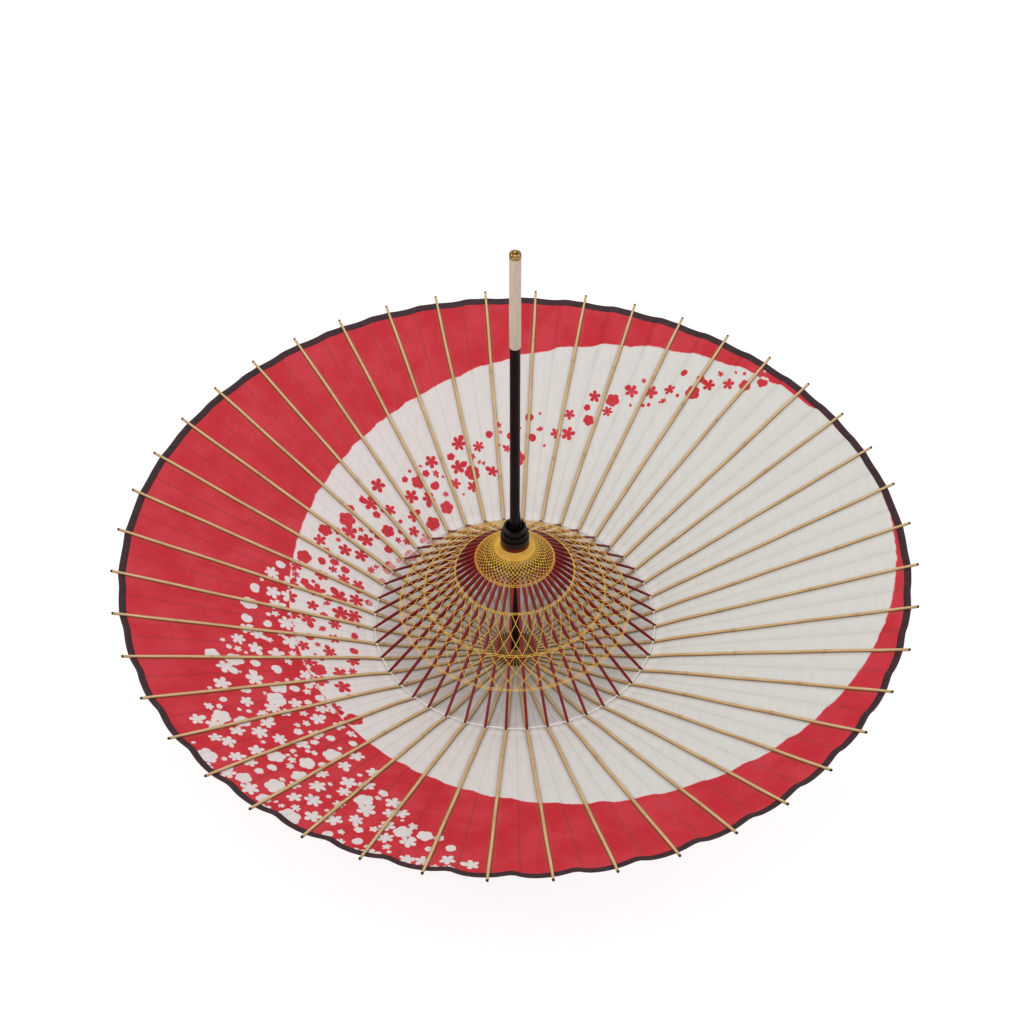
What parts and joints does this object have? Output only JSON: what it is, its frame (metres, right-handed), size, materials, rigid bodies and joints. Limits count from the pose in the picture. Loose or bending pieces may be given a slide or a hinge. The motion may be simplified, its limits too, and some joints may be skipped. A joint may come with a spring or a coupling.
{
  "type": "oil paper umbrella",
  "caption": "Folding oil paper umbrella: bamboo ribs and lacquered stretchers laced to a sliding runner on a lacquered shaft, with a spring latch and a slim grip.",
  "frame": {"origin": "on the shaft's axis at the middle of the grip's length, where a hand or holder takes it", "axes": "+Z along the shaft from the head towards the grip's free end, +X towards the latch, +Y by the right-hand rule; stored open"},
  "size_m": [0.8408, 0.8408, 0.5819],
  "materials": {
    "shaft_lacquer": "gloss",
    "grip_wood": "satin",
    "brass": "polished",
    "latch_steel": "satin",
    "head_lacquer": "satin",
    "white_thread": "matte",
    "yellow_thread": "matte",
    "runner_red": "gloss",
    "collar_black": "gloss",
    "paper": "satin",
    "bamboo": "satin",
    "stretcher_red": "gloss"
  },
  "bodies": {
    "shaft": {"shaft": "shaft_lacquer", "grip": "grip_wood", "end_cap": "brass", "latch_pin": "brass", "head_hub": "head_lacquer", "head_thread": "white_thread", "head_cap": "head_lacquer", "canopy": "paper", "knee_thread": "white_thread", "between_ribs": "bamboo"},
    "runner": {"runner_hub": "runner_red", "runner_collar": "collar_black", "runner_thread": "white_thread", "lacing": "yellow_thread", "between_stretchers": "stretcher_red"},
    "latch": {"latch": "latch_steel"},
    "rib_01": {"rib_01": "bamboo"},
    "stretcher_01": {"stretcher_01": "stretcher_red"},
    "rib_02": {"rib_02": "bamboo"},
    "stretcher_02": {"stretcher_02": "stretcher_red"},
    "rib_03": {"rib_03": "bamboo"},
    "stretcher_03": {"stretcher_03": "stretcher_red"},
    "rib_04": {"rib_04": "bamboo"},
    "stretcher_04": {"stretcher_04": "stretcher_red"},
    "rib_05": {"rib_05": "bamboo"},
    "stretcher_05": {"stretcher_05": "stretcher_red"},
    "rib_06": {"rib_06": "bamboo"},
    "stretcher_06": {"stretcher_06": "stretcher_red"},
    "rib_07": {"rib_07": "bamboo"},
    "stretcher_07": {"stretcher_07": "stretcher_red"},
    "rib_08": {"rib_08": "bamboo"},
    "stretcher_08": {"stretcher_08": "stretcher_red"},
    "rib_09": {"rib_09": "bamboo"},
    "stretcher_09": {"stretcher_09": "stretcher_red"},
    "rib_10": {"rib_10": "bamboo"},
    "stretcher_10": {"stretcher_10": "stretcher_red"},
    "rib_11": {"rib_11": "bamboo"},
    "stretcher_11": {"stretcher_11": "stretcher_red"},
    "rib_12": {"rib_12": "bamboo"},
    "stretcher_12": {"stretcher_12": "stretcher_red"},
    "rib_13": {"rib_13": "bamboo"},
    "stretcher_13": {"stretcher_13": "stretcher_red"},
    "rib_14": {"rib_14": "bamboo"},
    "stretcher_14": {"stretcher_14": "stretcher_red"},
    "rib_15": {"rib_15": "bamboo"},
    "stretcher_15": {"stretcher_15": "stretcher_red"},
    "rib_16": {"rib_16": "bamboo"},
    "stretcher_16": {"stretcher_16": "stretcher_red"},
    "rib_17": {"rib_17": "bamboo"},
    "stretcher_17": {"stretcher_17": "stretcher_red"},
    "rib_18": {"rib_18": "bamboo"},
    "stretcher_18": {"stretcher_18": "stretcher_red"},
    "rib_19": {"rib_19": "bamboo"},
    "stretcher_19": {"stretcher_19": "stretcher_red"},
    "rib_20": {"rib_20": "bamboo"},
    "stretcher_20": {"stretcher_20": "stretcher_red"},
    "rib_21": {"rib_21": "bamboo"},
    "stretcher_21": {"stretcher_21": "stretcher_red"},
    "rib_22": {"rib_22": "bamboo"},
    "stretcher_22": {"stretcher_22": "stretcher_red"}
  },
  "joints": [
    {"name": "runner_slide", "type": "slide", "parent": "shaft", "child": "runner", "axis": [0, 0, 1], "range_m": [0, 0.157], "deforming": ["canopy", "knee_thread", "between_ribs", "lacing", "between_stretchers"]},
    {"name": "latch_press", "type": "hinge", "parent": "shaft", "child": "latch", "pos_m": [0.004, 0, -0.26792], "axis": [0, 1, 0], "range_deg": [0, 5], "stiffness_Nm_per_rad": 0.05, "springref_deg": -5.73},
    {"name": "rib_01_hinge", "type": "hinge", "parent": "shaft", "child": "rib_01", "pos_m": [0.017, 0, -0.4935], "axis": [0, -1, 0], "range_deg": [0, 66.88]},
    {"name": "stretcher_01_hinge", "type": "hinge", "parent": "runner", "child": "stretcher_01", "pos_m": [0.013, 0, -0.3237], "axis": [0, 1, 0], "range_deg": [0, 46.21]},
    {"name": "rib_02_hinge", "type": "hinge", "parent": "shaft", "child": "rib_02", "pos_m": [0.01631, 0.00479, -0.4935], "axis": [0.2817, -0.9595, 0], "range_deg": [0, 66.88]},
    {"name": "stretcher_02_hinge", "type": "hinge", "parent": "runner", "child": "stretcher_02", "pos_m": [0.01247, 0.00366, -0.3237], "axis": [-0.2817, 0.9595, 0], "range_deg": [0, 46.21]},
    {"name": "rib_03_hinge", "type": "hinge", "parent": "shaft", "child": "rib_03", "pos_m": [0.0143, 0.00919, -0.4935], "axis": [0.5406, -0.8413, 0], "range_deg": [0, 66.88]},
    {"name": "stretcher_03_hinge", "type": "hinge", "parent": "runner", "child": "stretcher_03", "pos_m": [0.01094, 0.00703, -0.3237], "axis": [-0.5406, 0.8413, 0], "range_deg": [0, 46.21]},
    {"name": "rib_04_hinge", "type": "hinge", "parent": "shaft", "child": "rib_04", "pos_m": [0.01113, 0.01285, -0.4935], "axis": [0.7557, -0.6549, 0], "range_deg": [0, 66.88]},
    {"name": "stretcher_04_hinge", "type": "hinge", "parent": "runner", "child": "stretcher_04", "pos_m": [0.00851, 0.00982, -0.3237], "axis": [-0.7557, 0.6549, 0], "range_deg": [0, 46.21]},
    {"name": "rib_05_hinge", "type": "hinge", "parent": "shaft", "child": "rib_05", "pos_m": [0.00706, 0.01546, -0.4935], "axis": [0.9096, -0.4154, 0], "range_deg": [0, 66.88]},
    {"name": "stretcher_05_hinge", "type": "hinge", "parent": "runner", "child": "stretcher_05", "pos_m": [0.0054, 0.01183, -0.3237], "axis": [-0.9096, 0.4154, 0], "range_deg": [0, 46.21]},
    {"name": "rib_06_hinge", "type": "hinge", "parent": "shaft", "child": "rib_06", "pos_m": [0.00242, 0.01683, -0.4935], "axis": [0.9898, -0.1423, 0], "range_deg": [0, 66.88]},
    {"name": "stretcher_06_hinge", "type": "hinge", "parent": "runner", "child": "stretcher_06", "pos_m": [0.00185, 0.01287, -0.3237], "axis": [-0.9898, 0.1423, 0], "range_deg": [0, 46.21]},
    {"name": "rib_07_hinge", "type": "hinge", "parent": "shaft", "child": "rib_07", "pos_m": [-0.00242, 0.01683, -0.4935], "axis": [0.9898, 0.1423, 0], "range_deg": [0, 66.88]},
    {"name": "stretcher_07_hinge", "type": "hinge", "parent": "runner", "child": "stretcher_07", "pos_m": [-0.00185, 0.01287, -0.3237], "axis": [-0.9898, -0.1423, 0], "range_deg": [0, 46.21]},
    {"name": "rib_08_hinge", "type": "hinge", "parent": "shaft", "child": "rib_08", "pos_m": [-0.00706, 0.01546, -0.4935], "axis": [0.9096, 0.4154, 0], "range_deg": [0, 66.88]},
    {"name": "stretcher_08_hinge", "type": "hinge", "parent": "runner", "child": "stretcher_08", "pos_m": [-0.0054, 0.01183, -0.3237], "axis": [-0.9096, -0.4154, 0], "range_deg": [0, 46.21]},
    {"name": "rib_09_hinge", "type": "hinge", "parent": "shaft", "child": "rib_09", "pos_m": [-0.01113, 0.01285, -0.4935], "axis": [0.7557, 0.6549, 0], "range_deg": [0, 66.88]},
    {"name": "stretcher_09_hinge", "type": "hinge", "parent": "runner", "child": "stretcher_09", "pos_m": [-0.00851, 0.00982, -0.3237], "axis": [-0.7557, -0.6549, 0], "range_deg": [0, 46.21]},
    {"name": "rib_10_hinge", "type": "hinge", "parent": "shaft", "child": "rib_10", "pos_m": [-0.0143, 0.00919, -0.4935], "axis": [0.5406, 0.8413, 0], "range_deg": [0, 66.88]},
    {"name": "stretcher_10_hinge", "type": "hinge", "parent": "runner", "child": "stretcher_10", "pos_m": [-0.01094, 0.00703, -0.3237], "axis": [-0.5406, -0.8413, 0], "range_deg": [0, 46.21]},
    {"name": "rib_11_hinge", "type": "hinge", "parent": "shaft", "child": "rib_11", "pos_m": [-0.01631, 0.00479, -0.4935], "axis": [0.2817, 0.9595, 0], "range_deg": [0, 66.88]},
    {"name": "stretcher_11_hinge", "type": "hinge", "parent": "runner", "child": "stretcher_11", "pos_m": [-0.01247, 0.00366, -0.3237], "axis": [-0.2817, -0.9595, 0], "range_deg": [0, 46.21]},
    {"name": "rib_12_hinge", "type": "hinge", "parent": "shaft", "child": "rib_12", "pos_m": [-0.017, 0, -0.4935], "axis": [0, 1, 0], "range_deg": [0, 66.88]},
    {"name": "stretcher_12_hinge", "type": "hinge", "parent": "runner", "child": "stretcher_12", "pos_m": [-0.013, 0, -0.3237], "axis": [0, -1, 0], "range_deg": [0, 46.21]},
    {"name": "rib_13_hinge", "type": "hinge", "parent": "shaft", "child": "rib_13", "pos_m": [-0.01631, -0.00479, -0.4935], "axis": [-0.2817, 0.9595, 0], "range_deg": [0, 66.88]},
    {"name": "stretcher_13_hinge", "type": "hinge", "parent": "runner", "child": "stretcher_13", "pos_m": [-0.01247, -0.00366, -0.3237], "axis": [0.2817, -0.9595, 0], "range_deg": [0, 46.21]},
    {"name": "rib_14_hinge", "type": "hinge", "parent": "shaft", "child": "rib_14", "pos_m": [-0.0143, -0.00919, -0.4935], "axis": [-0.5406, 0.8413, 0], "range_deg": [0, 66.88]},
    {"name": "stretcher_14_hinge", "type": "hinge", "parent": "runner", "child": "stretcher_14", "pos_m": [-0.01094, -0.00703, -0.3237], "axis": [0.5406, -0.8413, 0], "range_deg": [0, 46.21]},
    {"name": "rib_15_hinge", "type": "hinge", "parent": "shaft", "child": "rib_15", "pos_m": [-0.01113, -0.01285, -0.4935], "axis": [-0.7557, 0.6549, 0], "range_deg": [0, 66.88]},
    {"name": "stretcher_15_hinge", "type": "hinge", "parent": "runner", "child": "stretcher_15", "pos_m": [-0.00851, -0.00982, -0.3237], "axis": [0.7557, -0.6549, 0], "range_deg": [0, 46.21]},
    {"name": "rib_16_hinge", "type": "hinge", "parent": "shaft", "child": "rib_16", "pos_m": [-0.00706, -0.01546, -0.4935], "axis": [-0.9096, 0.4154, 0], "range_deg": [0, 66.88]},
    {"name": "stretcher_16_hinge", "type": "hinge", "parent": "runner", "child": "stretcher_16", "pos_m": [-0.0054, -0.01183, -0.3237], "axis": [0.9096, -0.4154, 0], "range_deg": [0, 46.21]},
    {"name": "rib_17_hinge", "type": "hinge", "parent": "shaft", "child": "rib_17", "pos_m": [-0.00242, -0.01683, -0.4935], "axis": [-0.9898, 0.1423, 0], "range_deg": [0, 66.88]},
    {"name": "stretcher_17_hinge", "type": "hinge", "parent": "runner", "child": "stretcher_17", "pos_m": [-0.00185, -0.01287, -0.3237], "axis": [0.9898, -0.1423, 0], "range_deg": [0, 46.21]},
    {"name": "rib_18_hinge", "type": "hinge", "parent": "shaft", "child": "rib_18", "pos_m": [0.00242, -0.01683, -0.4935], "axis": [-0.9898, -0.1423, 0], "range_deg": [0, 66.88]},
    {"name": "stretcher_18_hinge", "type": "hinge", "parent": "runner", "child": "stretcher_18", "pos_m": [0.00185, -0.01287, -0.3237], "axis": [0.9898, 0.1423, 0], "range_deg": [0, 46.21]},
    {"name": "rib_19_hinge", "type": "hinge", "parent": "shaft", "child": "rib_19", "pos_m": [0.00706, -0.01546, -0.4935], "axis": [-0.9096, -0.4154, 0], "range_deg": [0, 66.88]},
    {"name": "stretcher_19_hinge", "type": "hinge", "parent": "runner", "child": "stretcher_19", "pos_m": [0.0054, -0.01183, -0.3237], "axis": [0.9096, 0.4154, 0], "range_deg": [0, 46.21]},
    {"name": "rib_20_hinge", "type": "hinge", "parent": "shaft", "child": "rib_20", "pos_m": [0.01113, -0.01285, -0.4935], "axis": [-0.7557, -0.6549, 0], "range_deg": [0, 66.88]},
    {"name": "stretcher_20_hinge", "type": "hinge", "parent": "runner", "child": "stretcher_20", "pos_m": [0.00851, -0.00982, -0.3237], "axis": [0.7557, 0.6549, 0], "range_deg": [0, 46.21]},
    {"name": "rib_21_hinge", "type": "hinge", "parent": "shaft", "child": "rib_21", "pos_m": [0.0143, -0.00919, -0.4935], "axis": [-0.5406, -0.8413, 0], "range_deg": [0, 66.88]},
    {"name": "stretcher_21_hinge", "type": "hinge", "parent": "runner", "child": "stretcher_21", "pos_m": [0.01094, -0.00703, -0.3237], "axis": [0.5406, 0.8413, 0], "range_deg": [0, 46.21]},
    {"name": "rib_22_hinge", "type": "hinge", "parent": "shaft", "child": "rib_22", "pos_m": [0.01631, -0.00479, -0.4935], "axis": [-0.2817, -0.9595, 0], "range_deg": [0, 66.88]},
    {"name": "stretcher_22_hinge", "type": "hinge", "parent": "runner", "child": "stretcher_22", "pos_m": [0.01247, -0.00366, -0.3237], "axis": [0.2817, 0.9595, 0], "range_deg": [0, 46.21]}
  ],
  "couplings": [
    {"joint": "rib_01_hinge", "follows": "runner_slide", "rad_per_m": 7.4349},
    {"joint": "stretcher_01_hinge", "follows": "runner_slide", "rad_per_m": 5.137},
    {"joint": "rib_02_hinge", "follows": "runner_slide", "rad_per_m": 7.4349},
    {"joint": "stretcher_02_hinge", "follows": "runner_slide", "rad_per_m": 5.137},
    {"joint": "rib_03_hinge", "follows": "runner_slide", "rad_per_m": 7.4349},
    {"joint": "stretcher_03_hinge", "follows": "runner_slide", "rad_per_m": 5.137},
    {"joint": "rib_04_hinge", "follows": "runner_slide", "rad_per_m": 7.4349},
    {"joint": "stretcher_04_hinge", "follows": "runner_slide", "rad_per_m": 5.137},
    {"joint": "rib_05_hinge", "follows": "runner_slide", "rad_per_m": 7.4349},
    {"joint": "stretcher_05_hinge", "follows": "runner_slide", "rad_per_m": 5.137},
    {"joint": "rib_06_hinge", "follows": "runner_slide", "rad_per_m": 7.4349},
    {"joint": "stretcher_06_hinge", "follows": "runner_slide", "rad_per_m": 5.137},
    {"joint": "rib_07_hinge", "follows": "runner_slide", "rad_per_m": 7.4349},
    {"joint": "stretcher_07_hinge", "follows": "runner_slide", "rad_per_m": 5.137},
    {"joint": "rib_08_hinge", "follows": "runner_slide", "rad_per_m": 7.4349},
    {"joint": "stretcher_08_hinge", "follows": "runner_slide", "rad_per_m": 5.137},
    {"joint": "rib_09_hinge", "follows": "runner_slide", "rad_per_m": 7.4349},
    {"joint": "stretcher_09_hinge", "follows": "runner_slide", "rad_per_m": 5.137},
    {"joint": "rib_10_hinge", "follows": "runner_slide", "rad_per_m": 7.4349},
    {"joint": "stretcher_10_hinge", "follows": "runner_slide", "rad_per_m": 5.137},
    {"joint": "rib_11_hinge", "follows": "runner_slide", "rad_per_m": 7.4349},
    {"joint": "stretcher_11_hinge", "follows": "runner_slide", "rad_per_m": 5.137},
    {"joint": "rib_12_hinge", "follows": "runner_slide", "rad_per_m": 7.4349},
    {"joint": "stretcher_12_hinge", "follows": "runner_slide", "rad_per_m": 5.137},
    {"joint": "rib_13_hinge", "follows": "runner_slide", "rad_per_m": 7.4349},
    {"joint": "stretcher_13_hinge", "follows": "runner_slide", "rad_per_m": 5.137},
    {"joint": "rib_14_hinge", "follows": "runner_slide", "rad_per_m": 7.4349},
    {"joint": "stretcher_14_hinge", "follows": "runner_slide", "rad_per_m": 5.137},
    {"joint": "rib_15_hinge", "follows": "runner_slide", "rad_per_m": 7.4349},
    {"joint": "stretcher_15_hinge", "follows": "runner_slide", "rad_per_m": 5.137},
    {"joint": "rib_16_hinge", "follows": "runner_slide", "rad_per_m": 7.4349},
    {"joint": "stretcher_16_hinge", "follows": "runner_slide", "rad_per_m": 5.137},
    {"joint": "rib_17_hinge", "follows": "runner_slide", "rad_per_m": 7.4349},
    {"joint": "stretcher_17_hinge", "follows": "runner_slide", "rad_per_m": 5.137},
    {"joint": "rib_18_hinge", "follows": "runner_slide", "rad_per_m": 7.4349},
    {"joint": "stretcher_18_hinge", "follows": "runner_slide", "rad_per_m": 5.137},
    {"joint": "rib_19_hinge", "follows": "runner_slide", "rad_per_m": 7.4349},
    {"joint": "stretcher_19_hinge", "follows": "runner_slide", "rad_per_m": 5.137},
    {"joint": "rib_20_hinge", "follows": "runner_slide", "rad_per_m": 7.4349},
    {"joint": "stretcher_20_hinge", "follows": "runner_slide", "rad_per_m": 5.137},
    {"joint": "rib_21_hinge", "follows": "runner_slide", "rad_per_m": 7.4349},
    {"joint": "stretcher_21_hinge", "follows": "runner_slide", "rad_per_m": 5.137},
    {"joint": "rib_22_hinge", "follows": "runner_slide", "rad_per_m": 7.4349},
    {"joint": "stretcher_22_hinge", "follows": "runner_slide", "rad_per_m": 5.137}
  ]
}
